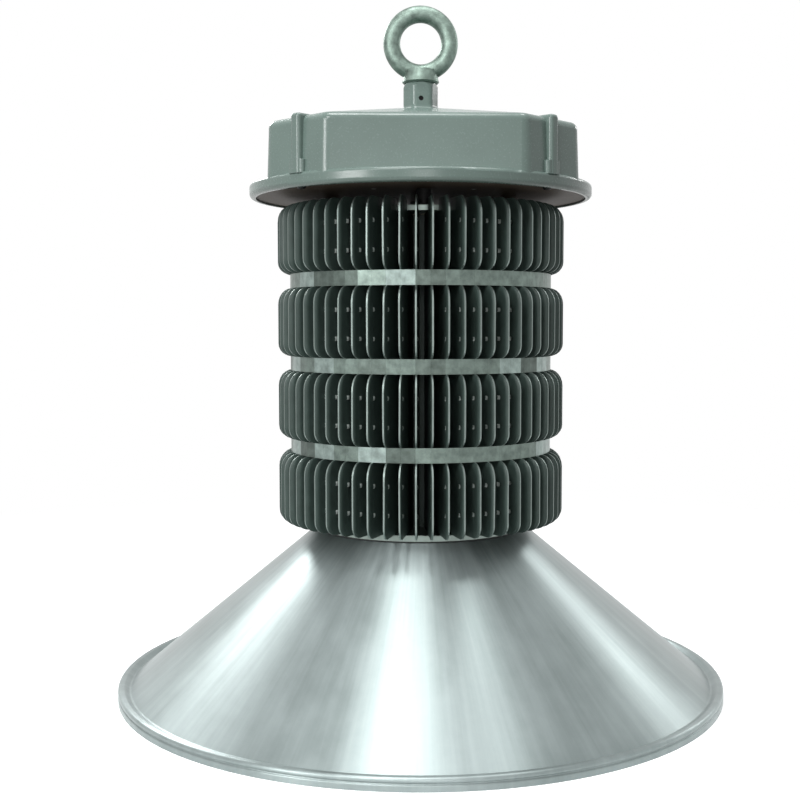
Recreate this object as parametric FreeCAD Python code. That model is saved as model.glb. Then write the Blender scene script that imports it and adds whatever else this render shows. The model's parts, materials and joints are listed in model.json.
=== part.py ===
import FreeCAD, Part
import math
import os

# High bay light: a spun reflector below a finned heat sink, with the drivers above it in a cast cover
# that hangs from an eye bolt. Millimetres, +Z up. The origin is the centre of the reflector's lower edge.

# ---------------------------------------------------------------- driving dimensions
# Reflector, spun from sheet
REFLECTOR_R = 250.0        # outside of the lip
REFLECTOR_H = 132.3        # lower edge of the lip to the top of the neck
REFLECTOR_SHEET = 1.2
NECK_BEND = 3.0
NECK_FLANGE_W = 17.0       # flat ring inside the neck, which the gasket and screws take
BEAD_W = 5.2               # rounded bead that stands up along the rim
BEAD_Z = 9.5               # top of the bead
BEAD_BEND = 2.3
CHANNEL_IN = 9.7           # rim to the bottom of the channel, where the cone ends
CHANNEL_Z = 6.2
CHANNEL_BEND = 2.0
GROOVE_Z = 5.3             # groove between the bead and the lip
GROOVE_DEPTH = 1.3
GROOVE_HALF_H = 1.1
LIP_BEND = 1.3
GROOVE_BEND = 0.7

# Light engine, under the base plate
BASE_PLATE_T = 5.0
GASKET_T = 1.0
BOARD_T = 1.6
BOARD_EDGE = 4.0           # board beyond its holder
COB_R = 20.0
COB_T = 1.4
PHOSPHOR_EDGE = 4.0        # carrier beyond the phosphor
PHOSPHOR_T = 0.6
HOLDER_W = 12.5
HOLDER_T = 3.4
HOLDER_GAP = 0.3           # round the array
HOLDER_SCREW_IN = 4.5      # screw circle inside the holder's edge
LENS_DOME_R = 45.0
LENS_DEPTH = 19.0          # lens flange to the lowest point of the dome
LENS_WALL = 4.5
LENS_FLANGE_W = 9.0
LENS_FLANGE_T = 4.0
RETAINER_W = 11.0          # retainer beyond the lens
RETAINER_T = 2.5
RETAINER_GAP = 5.0         # retainer to the hole in the neck flange

# Heat sink
CORE_R = 46.0
CORE_WALL = 10.0
FIN_COUNT = 60
FIN_R = 118.2
FIN_H = 259.0
FIN_SHEET = 1.2
FIN_CORNER_R = 9.0
FIN_FIRST_DEG = -94.13     # direction of one fin, from +X
FIN_GAP = 0.3              # between a fin's tab or foot and the next fin
BAND_R = 108.0             # the outer tabs' outer faces
BAND_H = 11.5
BAND_COUNT = 3
NOTCH_UNDER = 4.0          # the notch between two lobes reaches this much below its tab
NOTCH_SHORT = 2.0          # and stops this much below the tab's upper edge
FOOT_LOBE_EXTRA = 2.9      # the lowest lobe is this much taller than the others
TOP_PLATE_R = 80.0
TOP_PLATE_T = 4.0
TOP_PLATE_DROP = 4.9       # top of the fins to the top of the plate
TOP_PLATE_GAP = 0.6        # between the plate and the fins' step

# Driver cover, cast
COVER_GAP = 6.0            # top of the fins to the lower edge of the flange
FLANGE_OUT = 20.7          # round flange beyond the main faces
FLANGE_H = 11.0
FLANGE_ROUND = 2.8         # upper edge
FLANGE_FOOT_ROUND = 3.5    # lower edge
FLANGE_IN = 12.0           # flange runs this far under the walls
FLANGE_WEB = 3.5
FLANGE_LIP_T = 5.0         # wall of the flange's skirt
FLANGE_RECESS = 1.6        # lower edge of the skirt to the driver base
COVER_HALF = 120.0         # half width across the flats, at the flange
COVER_CHAMFER = 45.4       # corner cut off each side
COVER_WALL_H = 41.3
COVER_DRAFT_DEG = 2.0
COVER_CORNER_R = 11.0
COVER_EDGE_R = 6.0
COVER_WALL = 3.0
ROOF_RISE = 20.2
ROOF_FLAT_HALF = 21.0      # half width of the flat that the boss stands on
ROOF_WALL = 3.5
BOSS_FLATS = 26.0
BOSS_H = 23.0
BOSS_TURN_DEG = 4.4
BOSS_EDGE_R = 5.0
BOSS_FOOT_R = 4.5
BOSS_TAPER_H = 5.0         # top of the boss, drawn in like a nut's
BOSS_TAPER_IN = 2.2
POST_W = 9.5               # ridge down each chamfer
POST_OUT = 4.0
POST_RISE = 2.0            # top of the ridge over the cover's top edge
POST_SHIFT = 4.0           # off the middle of the chamfer, towards the front or the back
POST_EDGE_R = 3.0
POST_TOP_R = 2.5
POST_IN = 20.0             # root of the ridge and the block, inside the chamfer
POST_BLOCK_W = 15.5
POST_BLOCK_OUT = 3.5
POST_BLOCK_H = 9.0
LEDGE_W = 6.0              # inner ledge that presses on the gasket
COVER_SCREW_IN = 9.7       # screw circle inside the flange's edge
COVER_BOSS_R = 4.8
COVER_BOSS_H = 14.0

# Eye bolt
EYE_RING_R = 23.8          # to the centre of the bar
EYE_BAR_R = 6.95
EYE_RISE = 32.8            # seat of the collar to the centre of the ring
EYE_COLLAR_R = 15.2
EYE_COLLAR_TOP_R = 13.0
EYE_COLLAR_H = 11.0
EYE_EDGE = 1.2             # chamfers of the collar and the shank
EYE_THREAD_R = 8.0
EYE_SHANK = 36.0
EYE_NUT_FLATS = 24.0
EYE_NUT_H = 8.0
EYE_SEAT_EDGE = 3.0        # pad under the roof beyond the nut's flats
EYE_SEAT_T = 4.0
SET_SCREW_R = 1.9
SET_SCREW_Z = 9.4          # above the foot of the boss

# Driver base and what stands on it
DRIVER_BASE_T = 3.0
DRIVER_W = 55.0
DRIVER_L = 138.0
DRIVER_H = 32.0
DRIVER_SPACE = 22.0        # between the two drivers
DRIVER_FOOT_L = 9.0
DRIVER_FOOT_T = 2.0
TERMINAL_W = 36.0
TERMINAL_D = 18.0
TERMINAL_H = 27.0
TERMINAL_EAR_W = 9.0       # screwed ear at each end
TERMINAL_EAR_H = 6.0
TERMINAL_PITCH = 5.6
TERMINAL_IN = 28.0         # its centre inside the back wall
STANDOFF_R = 6.0
STANDOFF_EDGE = 0.5        # top plate beyond the standoffs

# Inner lead and cable gland
LEAD_R = 3.0
LEAD_Y = 28.0
LEAD_BEND_R = 18.0
LEAD_HEIGHT = 21.0         # of the level run over the driver base
GLAND_HEIGHT = 28.0        # axis over the driver base
GLAND_THREAD_R = 10.0
GLAND_PAD_EDGE = 4.0       # pad beyond the thread
GLAND_PAD_OUT = 2.2        # pad face beyond the widest point of the wall
GLAND_PAD_T = 6.5
GLAND_NUT_WALL = 2.0       # hexagon's flat beyond the thread
GLAND_HEX_T = 5.0
GLAND_BODY_WALL = 3.4
GLAND_THREAD_IN = 6.0      # thread beyond the pad, inside
GLAND_THREAD_OUT = 8.0     # thread that the dome nut turns on
GLAND_DOME_H = 7.0
LOCKNUT_T = 4.5
CABLE_R = 5.0

# Screws: radius of shank, radius of head, height of head
M3 = (1.5, 2.8, 2.0)
M4 = (2.0, 3.8, 2.4)
M5 = (2.5, 4.6, 2.6)
M6 = (3.0, 5.2, 3.2)
SOCKET_R = 0.55            # of the shank's radius
SOCKET_TOP = 0.45          # floor of the socket, of the head's height
HEAD_FLAT_R = 0.62         # of the head's radius
HEAD_RIM = 0.35            # of the head's height
FIT = 0.1                  # shank to its hole, on the radius
BLIND = 1.0                # metal left over a blind hole
SIX, FOUR = 6, 4           # screws in a ring

# ---------------------------------------------------------------- sizes that follow
PHOSPHOR_R = COB_R - PHOSPHOR_EDGE
HOLDER_R = COB_R + HOLDER_W
BOARD_R = HOLDER_R + BOARD_EDGE
LENS_FLANGE_R = LENS_DOME_R + LENS_FLANGE_W
RETAINER_R = LENS_FLANGE_R + RETAINER_W
LIGHT_HOLE_R = RETAINER_R + RETAINER_GAP
NECK_R = LIGHT_HOLE_R + NECK_FLANGE_W
HOLDER_SCREW_RING_R = HOLDER_R - HOLDER_SCREW_IN
RETAINER_SCREW_RING_R = LENS_FLANGE_R + RETAINER_W / 2
REFLECTOR_SCREW_RING_R = (LIGHT_HOLE_R + NECK_R) / 2
LOBE_H = (FIN_H - FOOT_LOBE_EXTRA - BAND_COUNT * BAND_H) / (BAND_COUNT + 1)
FLANGE_R = COVER_HALF + FLANGE_OUT
COVER_FACE_HALF = COVER_HALF - COVER_CHAMFER
COVER_SCREW_RING_R = FLANGE_R - COVER_SCREW_IN
STANDOFF_RING_R = TOP_PLATE_R - STANDOFF_R - STANDOFF_EDGE
DRIVER_X = (DRIVER_SPACE + DRIVER_W) / 2
TERMINAL_Y = COVER_HALF - TERMINAL_IN
GLAND_PAD_R = GLAND_THREAD_R + GLAND_PAD_EDGE
GLAND_FLATS = 2 * (GLAND_THREAD_R + GLAND_NUT_WALL)
GLAND_BORE_R = GLAND_THREAD_R - GLAND_BODY_WALL

NECK_Z = REFLECTOR_H
BASE_PLATE_Z = NECK_Z + GASKET_T
FIN_Z = BASE_PLATE_Z + BASE_PLATE_T
FIN_TOP_Z = FIN_Z + FIN_H
TOP_PLATE_Z = FIN_TOP_Z - TOP_PLATE_DROP - TOP_PLATE_T
STANDOFF_Z = TOP_PLATE_Z + TOP_PLATE_T
FLANGE_Z = FIN_TOP_Z + COVER_GAP
DRIVER_BASE_Z = FLANGE_Z + FLANGE_RECESS
FLOOR_Z = DRIVER_BASE_Z + DRIVER_BASE_T
LEDGE_Z = FLOOR_Z + GASKET_T
WALL_Z = FLANGE_Z + FLANGE_H
EDGE_Z = WALL_Z + COVER_WALL_H
BOSS_Z = EDGE_Z + ROOF_RISE
BOSS_TOP_Z = BOSS_Z + BOSS_H
EYE_Z = BOSS_TOP_Z + EYE_RISE
EYE_SEAT_Z = BOSS_Z - ROOF_WALL - EYE_SEAT_T
CORE_SCREW_RING_R = CORE_R - CORE_WALL / 2
PITCH_DEG = 360.0 / FIN_COUNT
DRAFT = math.tan(math.radians(COVER_DRAFT_DEG))
OCTAGON_TURN = math.tan(math.radians(22.5))
UP = FreeCAD.Vector(0, 0, 1)
ORIGIN = FreeCAD.Vector(0, 0, 0)


# ---------------------------------------------------------------- shapes
def in_section(u, v):
    """A point of a profile that is turned about Z: radius and height."""
    return FreeCAD.Vector(u, 0, v)


def at_height(z):
    """Places points of a plan at height z."""
    return lambda u, v: FreeCAD.Vector(u, v, z)


def outline(corners, place, closed=True):
    """A wire of straight runs; a corner's third number, if any, is the radius it is turned with."""
    flat = [FreeCAD.Vector(c[0], c[1], 0) for c in corners]
    legs = []
    for i, corner in enumerate(corners):
        radius = corner[2] if len(corner) > 2 else 0
        at = flat[i]
        if not radius:
            legs.append((at, None, at))
            continue
        back = (flat[i - 1] - at).normalize()
        ahead = (flat[(i + 1) % len(flat)] - at).normalize()
        half = back.getAngle(ahead) / 2
        inward = (back + ahead).normalize()
        middle = at + inward * (radius / math.sin(half) - radius)
        reach = radius / math.tan(half)
        legs.append((at + back * reach, middle, at + ahead * reach))
    edges = []
    for i, (start, middle, end) in enumerate(legs):
        if middle:
            arc = [place(p.x, p.y) for p in (start, middle, end)]
            edges.append(Part.Arc(*arc).toShape())
        if i < len(legs) - 1 or closed:
            following = legs[(i + 1) % len(legs)][0]
            edges.append(Part.makeLine(place(end.x, end.y), place(following.x, following.y)))
    return Part.Wire(edges)


def turned(corners):
    """A solid turned about Z from a closed profile of radius and height."""
    return Part.Face(outline(corners, in_section)).revolve(ORIGIN, UP, 360)


def disc(radius, z, height, x=0.0, y=0.0):
    return Part.makeCylinder(radius, height, FreeCAD.Vector(x, y, z))


def ring(outer, inner, z, height, x=0.0, y=0.0):
    return disc(outer, z, height, x, y).cut(disc(inner, z - 1, height + 2, x, y))


def box(width, depth, height, x, y, z):
    """A box centred on x, y with its floor at z."""
    return Part.makeBox(width, depth, height, FreeCAD.Vector(x - width / 2, y - depth / 2, z))


def hexagon(flats, z, height, corner_r=0.0):
    """A hexagonal bar with a flat towards -Y."""
    side = flats / math.sqrt(3)
    corners = []
    for i in range(6):
        turn = math.radians(60 * i)
        corners.append((side * math.cos(turn), side * math.sin(turn), corner_r))
    return Part.Face(outline(corners, at_height(z))).extrude(UP * height)


def around(shape, count, first_deg=0.0):
    """Copies of a shape, evenly spaced about Z."""
    copies = []
    for i in range(count):
        copy = shape.copy()
        copy.rotate(ORIGIN, UP, first_deg + i * 360.0 / count)
        copies.append(copy)
    return copies


def moved(shape, x, y, z):
    copy = shape.copy()
    copy.translate(FreeCAD.Vector(x, y, z))
    return copy


def towards_back(shape, y, z):
    """Lays a shape that was made up +Z along +Y, with its foot at y and its axis at height z."""
    copy = shape.copy()
    copy.rotate(ORIGIN, FreeCAD.Vector(1, 0, 0), -90)
    copy.translate(FreeCAD.Vector(0, y, z))
    return copy


def round_edges(shape, radius, wanted):
    return shape.makeFillet(radius, [e for e in shape.Edges if wanted(e)])


def upright(edge):
    ends = [v.Point for v in edge.Vertexes]
    if len(ends) < 2:
        return False
    along = ends[1] - ends[0]
    return abs(along.z) > 0.9 * along.Length


def level_at(z):
    return lambda e: e.BoundBox.ZLength < 1e-6 and abs(e.BoundBox.ZMin - z) < 1e-6


# ---------------------------------------------------------------- screws
def screw_up(size, seat_z, length, x=0.0, y=0.0):
    """A button-headed screw that points up: its head hangs below seat_z."""
    shank_r, head_r, head_h = size
    socket = shank_r * SOCKET_R
    head = turned([(0, -head_h * SOCKET_TOP), (socket, -head_h * SOCKET_TOP), (socket, -head_h),
                   (head_r * HEAD_FLAT_R, -head_h), (head_r, -head_h * HEAD_RIM), (head_r, 0), (0, 0)])
    return moved(head.fuse(disc(shank_r, 0, length)), x, y, seat_z)


def screw_down(size, seat_z, length, x=0.0, y=0.0):
    """The same screw pointing down: its head stands on seat_z."""
    screw = screw_up(size, 0, length)
    screw.rotate(ORIGIN, FreeCAD.Vector(1, 0, 0), 180)
    return moved(screw, x, y, seat_z)


def countersunk_up(size, face_z, length, x=0.0, y=0.0):
    """A flat-headed screw that points up, flush with a face that looks down."""
    shank_r, head_r, _ = size
    socket = shank_r * SOCKET_R
    depth = head_r - shank_r
    profile = [(0, depth * SOCKET_R), (socket, depth * SOCKET_R), (socket, 0), (head_r, 0),
               (shank_r, depth), (shank_r, length), (0, length)]
    return moved(turned(profile), x, y, face_z)


def countersink_up(size, face_z, length, x=0.0, y=0.0):
    """The hole for that screw."""
    shank_r, head_r, _ = size
    profile = [(0, -1), (head_r + FIT + 1, -1), (shank_r + FIT, head_r - shank_r),
               (shank_r + FIT, length), (0, length)]
    return moved(turned(profile), x, y, face_z)


def upside_down(shape, z):
    """Mirrors a shape about the level z."""
    return shape.mirror(FreeCAD.Vector(0, 0, z), UP)


def hole(size, z, height, x):
    return disc(size[0] + FIT, z, height, x, 0)


# ---------------------------------------------------------------- reflector and light engine
def reflector():
    """One sheet: neck flange, cone, channel, bead, groove and lip."""
    path = [(LIGHT_HOLE_R, NECK_Z), (NECK_R, NECK_Z, NECK_BEND),
            (REFLECTOR_R - CHANNEL_IN, CHANNEL_Z, CHANNEL_BEND),
            (REFLECTOR_R - BEAD_W, BEAD_Z, BEAD_BEND), (REFLECTOR_R, BEAD_Z, BEAD_BEND),
            (REFLECTOR_R, GROOVE_Z + GROOVE_HALF_H, LIP_BEND), (REFLECTOR_R - GROOVE_DEPTH, GROOVE_Z, GROOVE_BEND),
            (REFLECTOR_R, GROOVE_Z - GROOVE_HALF_H, LIP_BEND), (REFLECTOR_R, 0)]
    skin = outline(path, in_section, closed=False)
    sheet = skin.makeOffset2D(-REFLECTOR_SHEET, 0, True, True).revolve(ORIGIN, UP, 360)
    screw_hole = hole(M4, NECK_Z - REFLECTOR_SHEET - 1, REFLECTOR_SHEET + 2, REFLECTOR_SCREW_RING_R)
    return sheet.cut(around(screw_hole, SIX))


def reflector_gasket():
    gasket = ring(NECK_R, LIGHT_HOLE_R, NECK_Z, GASKET_T)
    return gasket.cut(around(hole(M4, NECK_Z - 1, GASKET_T + 2, REFLECTOR_SCREW_RING_R), SIX))


def reflector_screws():
    seat = NECK_Z - REFLECTOR_SHEET
    length = REFLECTOR_SHEET + GASKET_T + BASE_PLATE_T - BLIND
    return around(screw_up(M4, seat, length, REFLECTOR_SCREW_RING_R), SIX)


def base_plate():
    plate = disc(NECK_R, BASE_PLATE_Z, BASE_PLATE_T)
    plate = round_edges(plate, 0.6, level_at(FIN_Z))
    blind = BASE_PLATE_T - BLIND
    cuts = around(countersink_up(M5, BASE_PLATE_Z, BASE_PLATE_T + 1, CORE_SCREW_RING_R), SIX)
    cuts += around(hole(M4, BASE_PLATE_Z - 1, blind + 1, REFLECTOR_SCREW_RING_R), SIX)
    cuts += around(hole(M3, BASE_PLATE_Z - 1, blind + 1, RETAINER_SCREW_RING_R), SIX, 30)
    cuts += around(hole(M3, BASE_PLATE_Z - 1, blind + 1, HOLDER_SCREW_RING_R), FOUR, 45)
    cuts.append(disc(LEAD_R + 1, BASE_PLATE_Z - 1, BASE_PLATE_T + 2, 0, LEAD_Y))
    return plate.cut(cuts)


def base_screws():
    screw = countersunk_up(M5, BASE_PLATE_Z, BASE_PLATE_T + 10, CORE_SCREW_RING_R)
    return around(screw, SIX)


def led_board():
    board = disc(BOARD_R, BASE_PLATE_Z - BOARD_T, BOARD_T)
    return board.cut(around(hole(M3, BASE_PLATE_Z - BOARD_T - 1, BOARD_T + 2, HOLDER_SCREW_RING_R), FOUR, 45))


def cob_array():
    """The array's carrier with the raised round of phosphor."""
    carrier = disc(COB_R, BASE_PLATE_Z - BOARD_T - COB_T, COB_T)
    return carrier.fuse(disc(PHOSPHOR_R, BASE_PLATE_Z - BOARD_T - COB_T - PHOSPHOR_T, PHOSPHOR_T))


def cob_holder():
    top = BASE_PLATE_Z - BOARD_T
    inner = COB_R + HOLDER_GAP
    body = turned([(inner, top), (HOLDER_R, top), (HOLDER_R, top - HOLDER_T), (inner + 3, top - HOLDER_T),
                   (PHOSPHOR_R + PHOSPHOR_T, top - COB_T - 0.2), (inner, top - COB_T - 0.2)])
    return body.cut(around(hole(M3, top - HOLDER_T - 1, HOLDER_T + 2, HOLDER_SCREW_RING_R), FOUR, 45))


def holder_screws():
    seat = BASE_PLATE_Z - BOARD_T - HOLDER_T
    length = HOLDER_T + BOARD_T + BASE_PLATE_T - BLIND
    return around(screw_up(M3, seat, length, HOLDER_SCREW_RING_R), FOUR, 45)


def lens_gasket():
    return ring(LENS_FLANGE_R - 0.5, LENS_DOME_R + 2.0, BASE_PLATE_Z - GASKET_T, GASKET_T)


def dome(radius, depth, z):
    """A cap of a sphere that hangs below the level z."""
    sphere_r = (radius ** 2 + depth ** 2) / (2 * depth)
    ball = Part.makeSphere(sphere_r, FreeCAD.Vector(0, 0, z - depth + sphere_r))
    return ball.common(disc(radius + 1, z - depth - 1, depth + 1))


def glass_lens():
    top = BASE_PLATE_Z - GASKET_T
    under = top - LENS_FLANGE_T
    glass = disc(LENS_FLANGE_R, under, LENS_FLANGE_T)
    glass = glass.fuse(dome(LENS_DOME_R, LENS_DEPTH, under)).removeSplitter()
    inner_r = LENS_DOME_R - LENS_WALL
    hollow = dome(inner_r, LENS_DEPTH - LENS_WALL, under)
    return glass.cut(hollow.fuse(disc(inner_r, under, LENS_FLANGE_T + 1)))


def lens_retainer():
    """L-shaped ring: its wall stands on the base plate round the lens, its lip holds the lens."""
    seat = BASE_PLATE_Z - GASKET_T - LENS_FLANGE_T
    under = seat - RETAINER_T
    body = turned([(LENS_DOME_R + 0.8, seat), (LENS_FLANGE_R + 0.5, seat), (LENS_FLANGE_R + 0.5, BASE_PLATE_Z),
                   (RETAINER_R, BASE_PLATE_Z), (RETAINER_R, under + 1.5), (RETAINER_R - 1.5, under),
                   (LENS_DOME_R + 2.2, under), (LENS_DOME_R + 0.8, under + 1.4)])
    return body.cut(around(hole(M3, under - 1, BASE_PLATE_Z - under + 2, RETAINER_SCREW_RING_R), SIX, 30))


def retainer_screws():
    seat = BASE_PLATE_Z - GASKET_T - LENS_FLANGE_T - RETAINER_T
    length = BASE_PLATE_Z - seat + BASE_PLATE_T - BLIND
    return around(screw_up(M3, seat, length, RETAINER_SCREW_RING_R), SIX, 30)


# ---------------------------------------------------------------- heat sink
def heat_core():
    height = TOP_PLATE_Z - FIN_Z
    tube = ring(CORE_R, CORE_R - CORE_WALL, FIN_Z, height)
    cuts = around(hole(M5, FIN_Z - 1, 12, CORE_SCREW_RING_R), SIX)
    cuts += around(hole(M5, TOP_PLATE_Z - 14, 15, CORE_SCREW_RING_R), SIX)
    return tube.cut(cuts)


def polar(radius, side, turn_deg):
    """A point at a radius, set off sideways from a direction."""
    turn = math.radians(turn_deg)
    reach = math.sqrt(radius ** 2 - side ** 2)
    return (reach * math.cos(turn) - side * math.sin(turn), reach * math.sin(turn) + side * math.cos(turn))


def fin_fold(outer, z, height):
    """A part of the fin that is folded over to the next fin, one sheet thick."""
    back = -FIN_SHEET / 2
    inner = outer - FIN_SHEET
    corners = [polar(inner, back, 0), polar(outer, back, 0),
               polar(outer, back - FIN_GAP, PITCH_DEG), polar(inner, back - FIN_GAP, PITCH_DEG)]
    return Part.Face(outline(corners, at_height(z))).extrude(UP * height)


def one_fin():
    """A flat sheet with round-cornered lobes, its outer tabs folded into bands, its foot along the core."""
    flat_r = math.cos(math.radians(PITCH_DEG / 2))
    tab_r = BAND_R / flat_r
    foot_r = (CORE_R + 0.05) / flat_r + FIN_SHEET
    step_r = TOP_PLATE_R + TOP_PLATE_GAP
    notch_r = tab_r - FIN_SHEET / 2
    inner_r = foot_r - FIN_SHEET / 2
    edge = [(inner_r, FIN_Z), (FIN_R, FIN_Z, FIN_CORNER_R)]
    first_band = FIN_Z + FOOT_LOBE_EXTRA + LOBE_H
    bands = [first_band + (LOBE_H + BAND_H) * i for i in range(BAND_COUNT)]
    for z in bands:
        low, high = z - NOTCH_UNDER, z + BAND_H - NOTCH_SHORT
        edge += [(FIN_R, low, FIN_CORNER_R), (notch_r, low), (notch_r, high), (FIN_R, high, FIN_CORNER_R)]
    edge += [(FIN_R, FIN_TOP_Z, FIN_CORNER_R), (step_r, FIN_TOP_Z),
             (step_r, TOP_PLATE_Z - TOP_PLATE_GAP), (inner_r, TOP_PLATE_Z - TOP_PLATE_GAP)]
    sheet = Part.Face(outline(edge, in_section)).extrude(FreeCAD.Vector(0, FIN_SHEET, 0))
    sheet = moved(sheet, 0, -FIN_SHEET / 2, 0)
    folds = [fin_fold(tab_r, z, BAND_H) for z in bands]
    folds.append(fin_fold(foot_r, FIN_Z, TOP_PLATE_Z - TOP_PLATE_GAP - FIN_Z))
    return sheet.fuse(folds)


def cooling_fins():
    return around(one_fin(), FIN_COUNT, FIN_FIRST_DEG)


def top_plate():
    plate = disc(TOP_PLATE_R, TOP_PLATE_Z, TOP_PLATE_T)
    sink = countersink_up(M5, 0, TOP_PLATE_T + 1, CORE_SCREW_RING_R)
    sink = moved(upside_down(sink, 0), 0, 0, STANDOFF_Z)
    cuts = around(sink, SIX)
    cuts += around(hole(M6, TOP_PLATE_Z - 1, TOP_PLATE_T + 2, STANDOFF_RING_R), FOUR)
    cuts.append(disc(LEAD_R + 1, TOP_PLATE_Z - 1, TOP_PLATE_T + 2, 0, LEAD_Y))
    return plate.cut(cuts)


def top_plate_screws():
    screw = upside_down(countersunk_up(M5, 0, TOP_PLATE_T + 12, CORE_SCREW_RING_R), 0)
    return around(moved(screw, 0, 0, STANDOFF_Z), SIX)


def standoffs():
    spacer = ring(STANDOFF_R, M6[0] + FIT, STANDOFF_Z, DRIVER_BASE_Z - STANDOFF_Z, STANDOFF_RING_R)
    return around(spacer, FOUR)


def standoff_bolts():
    return around(screw_down(M6, FLOOR_Z, FLOOR_Z - TOP_PLATE_Z, STANDOFF_RING_R), FOUR)


# ---------------------------------------------------------------- driver cover
def octagon(inset, z, scale=1.0):
    """The cover's plan, every face moved in by inset, as a wire with rounded corners."""
    half = (COVER_HALF - inset) * scale
    face = (COVER_FACE_HALF - inset * OCTAGON_TURN) * scale
    radius = (COVER_CORNER_R - inset) * scale
    corners = [(half, -face), (half, face), (face, half), (-face, half),
               (-half, face), (-half, -face), (-face, -half), (face, -half)]
    return outline([(x, y, radius) for x, y in corners], at_height(z))


def bowl(inset, floor_z, edge_z, roof_z):
    """Drafted walls under a flat-topped eight-sided roof, moved in by inset."""
    floor_inset = inset + (floor_z - WALL_Z) * DRAFT
    edge_inset = inset + (edge_z - WALL_Z) * DRAFT
    top_scale = ROOF_FLAT_HALF / (COVER_HALF - edge_inset)
    walls = Part.makeLoft([octagon(floor_inset, floor_z), octagon(edge_inset, edge_z)], True, True)
    roof = Part.makeLoft([octagon(edge_inset, edge_z), octagon(edge_inset, roof_z, top_scale)], True, True)
    return walls.fuse(roof)


def flange():
    """Round flange: a thick ring with a skirt round the driver base."""
    top_in = COVER_HALF - FLANGE_IN
    ledge_out = COVER_SCREW_RING_R - COVER_BOSS_R + 0.3
    skirt_in = FLANGE_R - FLANGE_LIP_T
    under_top = WALL_Z - FLANGE_WEB
    return turned([(top_in, WALL_Z), (FLANGE_R, WALL_Z, FLANGE_ROUND), (FLANGE_R, FLANGE_Z, FLANGE_FOOT_ROUND),
                   (skirt_in, FLANGE_Z), (skirt_in, under_top), (ledge_out, under_top),
                   (ledge_out, LEDGE_Z), (ledge_out - LEDGE_W, LEDGE_Z), (top_in, under_top)])


def post(width, out, top):
    """A round-cornered bar standing against a chamfer that faces +X."""
    face_r = (COVER_HALF + COVER_FACE_HALF) / math.sqrt(2)
    half = width / 2
    root, front = face_r - POST_IN, face_r + out
    plan = [(root, -half), (front, -half, POST_EDGE_R), (front, half, POST_EDGE_R), (root, half)]
    return Part.Face(outline(plan, at_height(WALL_Z - 1))).extrude(UP * (top - WALL_Z + 1))


def corner_posts():
    """A ridge over a wider block on each chamfer, each pair a mirror image of the other."""
    top = EDGE_Z + POST_RISE
    ridge = round_edges(post(POST_W, POST_OUT, top), POST_TOP_R, level_at(top))
    made = ridge.fuse(post(POST_BLOCK_W, POST_BLOCK_OUT, WALL_Z + POST_BLOCK_H))
    return around(moved(made, 0, POST_SHIFT, 0), 2, 45) + around(moved(made, 0, -POST_SHIFT, 0), 2, 135)


def boss():
    """The hexagon under the eye bolt, its top drawn in all round."""
    corner_r = BOSS_FLATS / math.sqrt(3)
    bar = hexagon(BOSS_FLATS, BOSS_Z - 1, BOSS_H + 1, BOSS_EDGE_R)
    bar.rotate(ORIGIN, UP, BOSS_TURN_DEG)
    return bar.common(turned([(0, BOSS_Z - 1), (corner_r, BOSS_Z - 1), (corner_r, BOSS_TOP_Z - BOSS_TAPER_H, BOSS_TAPER_H),
                              (corner_r - BOSS_TAPER_IN, BOSS_TOP_Z), (0, BOSS_TOP_Z)]))


def gland_pad_y():
    """Outer face of the flat pad that the gland seats on."""
    return COVER_HALF + GLAND_PAD_OUT


def driver_cover():
    body = bowl(0, WALL_Z - 2, EDGE_Z, BOSS_Z).removeSplitter()
    body = round_edges(body, COVER_EDGE_R, level_at(EDGE_Z))
    gland_z = FLOOR_Z + GLAND_HEIGHT
    pad = towards_back(disc(GLAND_PAD_R, 0, GLAND_PAD_T), gland_pad_y() - GLAND_PAD_T, gland_z)
    body = body.fuse(corner_posts() + [flange(), boss()])
    body = round_edges(body, BOSS_FOOT_R, boss_foot)
    inside = bowl(COVER_WALL, LEDGE_Z - 1, EDGE_Z - ROOF_WALL, BOSS_Z - ROOF_WALL)
    ledge = ring(COVER_HALF * 2, COVER_SCREW_RING_R - COVER_BOSS_R - LEDGE_W, LEDGE_Z - 2, WALL_Z - LEDGE_Z + 2)
    body = body.cut(inside.cut(ledge)).fuse(pad)
    bosses = around(disc(COVER_BOSS_R, LEDGE_Z, COVER_BOSS_H, COVER_SCREW_RING_R), FOUR, 45)
    body = body.fuse(bosses + [disc(EYE_NUT_FLATS / 2 + EYE_SEAT_EDGE, EYE_SEAT_Z, EYE_SEAT_T + 1)])
    cuts = around(hole(M4, LEDGE_Z - 1, COVER_BOSS_H - 1, COVER_SCREW_RING_R), FOUR, 45)
    cuts.append(disc(EYE_THREAD_R + FIT, BOSS_Z - 20, BOSS_H + 30))
    cuts.append(set_screw_hole())
    cuts.append(towards_back(disc(GLAND_THREAD_R + FIT, -20, 40), gland_pad_y(), gland_z))
    cuts.append(towards_back(disc(GLAND_PAD_R + 4, -30, 30 - GLAND_PAD_T), gland_pad_y(), gland_z))
    return body.cut(cuts)


def boss_foot(edge):
    bounds = edge.BoundBox
    reach = max(abs(bounds.XMax), abs(bounds.XMin), abs(bounds.YMax), abs(bounds.YMin))
    return level_at(BOSS_Z)(edge) and reach < ROOF_FLAT_HALF - 2


def set_screw_hole():
    """A plain hole from the front flat of the boss to the eye bolt's shank."""
    bore = disc(SET_SCREW_R + FIT, EYE_THREAD_R - 1, BOSS_FLATS)
    bore.rotate(ORIGIN, FreeCAD.Vector(1, 0, 0), 90)
    return moved(bore, 0, 0, BOSS_Z + SET_SCREW_Z)


def cover_gasket():
    outer = COVER_SCREW_RING_R - COVER_BOSS_R
    return ring(outer, outer - LEDGE_W + 0.5, FLOOR_Z, GASKET_T)


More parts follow.
